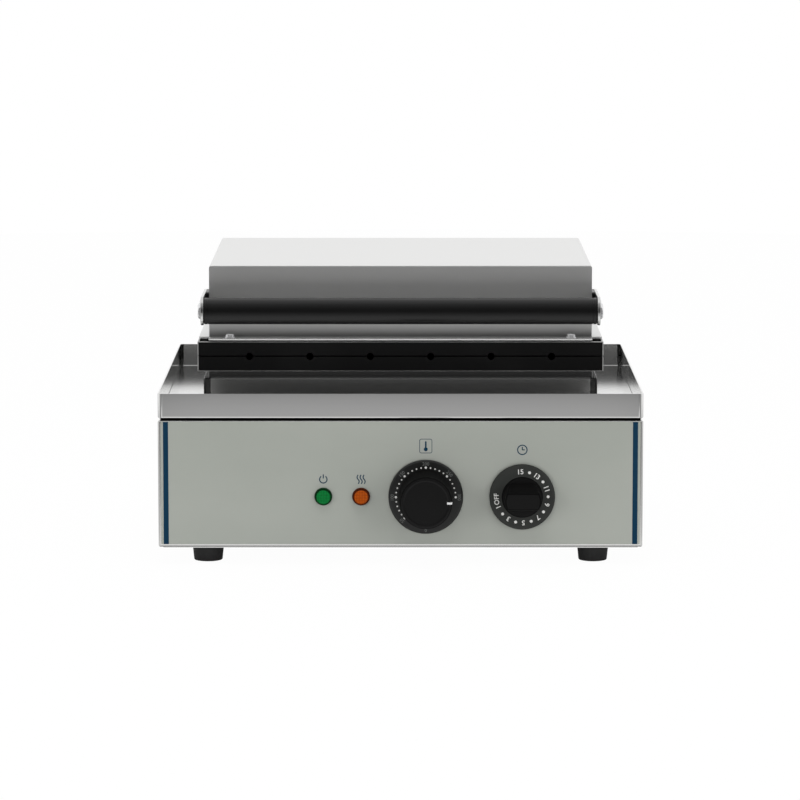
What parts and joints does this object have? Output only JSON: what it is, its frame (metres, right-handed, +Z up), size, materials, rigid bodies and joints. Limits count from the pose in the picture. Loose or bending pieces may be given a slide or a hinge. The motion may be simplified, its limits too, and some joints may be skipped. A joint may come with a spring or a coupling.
{
  "type": "corn dog maker",
  "caption": "Countertop corn dog maker: sheet steel base with dial controls, open drip tray, cast mould plates with stick holes and a hinged lid with a bar handle.",
  "frame": {"origin": "middle of the overall box on the table, under the feet", "axes": "+Z up, front panel and handle towards -Y, +X to the right seen from the front"},
  "size_m": [0.34, 0.3436, 0.2066],
  "materials": {
    "base_steel": "satin stainless",
    "fascia_grey": "printed satin film, greenish grey",
    "tray_steel": "polished stainless",
    "shell_steel": "satin stainless",
    "lid_steel": "satin stainless",
    "arm_steel": "satin stainless",
    "inner_steel": "bare sheet",
    "heater_steel": "heat darkened",
    "copper": "copper",
    "coated_plate": "black non-stick coating on a casting",
    "foot_rubber": "matt",
    "seal_rubber": "matt",
    "grip_plastic": "satin phenolic",
    "knob_plastic": "satin",
    "bezel_plastic": "satin",
    "green_lens": "clear coloured",
    "amber_lens": "clear coloured",
    "gland_plastic": "satin nylon",
    "case_plastic": "plain",
    "case_ceramic": "glazed ceramic",
    "zinc": "plated",
    "print_white": "printed marks on the dials",
    "print_blue": "printed stripes and signs on the fascia"
  },
  "bodies": {
    "base": {"base_chassis": "base_steel", "front_fascia": "fascia_grey", "bottom_cover": "base_steel", "cover_screws": "zinc", "rubber_feet": "foot_rubber", "foot_screws": "zinc", "base_nuts": "zinc", "tray_seal": "seal_rubber", "splash_tray": "tray_steel", "lower_shell": "shell_steel", "shell_screws": "zinc", "lower_plate": "coated_plate", "lower_plate_block": "coated_plate", "plate_posts": "inner_steel", "post_bolts": "zinc", "lower_heater": "heater_steel", "lower_heater_clamp": "inner_steel", "lower_clamp_screws": "zinc", "sensor_bulb": "copper", "thermostat_body": "case_plastic", "thermostat_bezel": "bezel_plastic", "bezel_screws": "zinc", "timer_body": "case_plastic", "power_lamp_body": "green_lens", "power_lens": "green_lens", "heat_lamp_body": "amber_lens", "heat_lens": "amber_lens", "lamp_nuts": "zinc", "terminal_block": "case_ceramic", "cord_gland": "gland_plastic", "gland_cap": "gland_plastic", "gland_locknut": "gland_plastic", "base_conduit_gland": "gland_plastic", "hinge_brackets": "arm_steel", "bracket_screws": "zinc", "hinge_pins": "zinc", "hinge_nuts": "zinc"},
    "lid": {"lid_shell": "lid_steel", "lid_seal": "seal_rubber", "upper_plate": "coated_plate", "upper_plate_block": "coated_plate", "lid_screws": "zinc", "lid_washers": "zinc", "upper_heater": "heater_steel", "upper_heater_clamp": "inner_steel", "upper_clamp_screws": "zinc", "lid_heat_shield": "inner_steel", "handle_arms": "arm_steel", "arm_spacers": "grip_plastic", "arm_screws": "zinc", "handle_grip": "grip_plastic", "handle_rod": "zinc", "handle_nuts": "zinc", "hinge_arms": "arm_steel", "hinge_arm_screws": "zinc", "lid_conduit_gland": "gland_plastic"},
    "thermostat_dial": {"thermostat_knob": "knob_plastic", "thermostat_shaft": "zinc"},
    "timer_dial": {"timer_knob": "knob_plastic", "timer_shaft": "zinc"}
  },
  "joints": [
    {"name": "lid_hinge", "type": "hinge", "parent": "base", "child": "lid", "pos_m": [0, 0.13485, 0.1525], "axis": [-1, 0, 0], "range_deg": [0, 95]},
    {"name": "thermostat_turn", "type": "hinge", "parent": "base", "child": "thermostat_dial", "pos_m": [0.0177, -0.14075, 0.0484], "axis": [0, -1, 0], "range_deg": [0, 270]},
    {"name": "timer_turn", "type": "hinge", "parent": "base", "child": "timer_dial", "pos_m": [0.0853, -0.14075, 0.0484], "axis": [0, -1, 0], "range_deg": [0, 268]}
  ]
}
